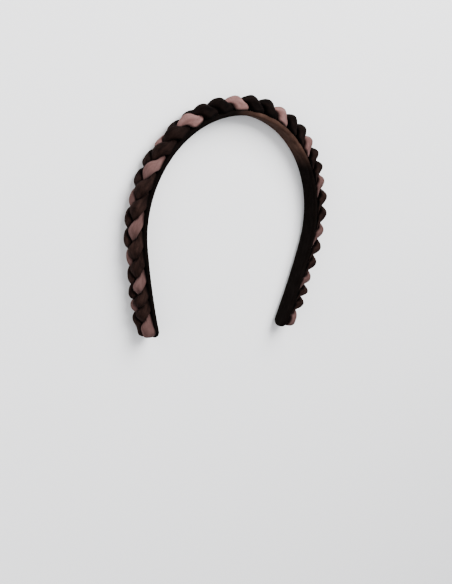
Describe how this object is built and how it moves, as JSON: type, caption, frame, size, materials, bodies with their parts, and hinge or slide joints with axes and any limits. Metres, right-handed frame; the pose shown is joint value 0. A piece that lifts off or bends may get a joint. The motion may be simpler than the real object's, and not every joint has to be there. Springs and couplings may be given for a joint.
{
  "type": "headband",
  "caption": "Springy curved headband covered in dark brown velvet, with a padded velvet braid of dark brown and dusty rose strands laid along its outside.",
  "frame": {"origin": "on the surface that the headband lies on, under the middle of its bounding box", "axes": "the headband lies on its side: +X towards the wearer's left, +Y from the open ends towards the crown, +Z towards the wearer's face"},
  "size_m": [0.1737, 0.165, 0.0155],
  "materials": {
    "brown_velvet": "matt pile with a soft sheen",
    "rose_velvet": "matt pile with a soft sheen"
  },
  "bodies": {
    "root": {"covered_band": "brown_velvet", "strand_rose": "rose_velvet", "strand_brown_a": "brown_velvet", "strand_brown_b": "brown_velvet"}
  },
  "joints": []
}
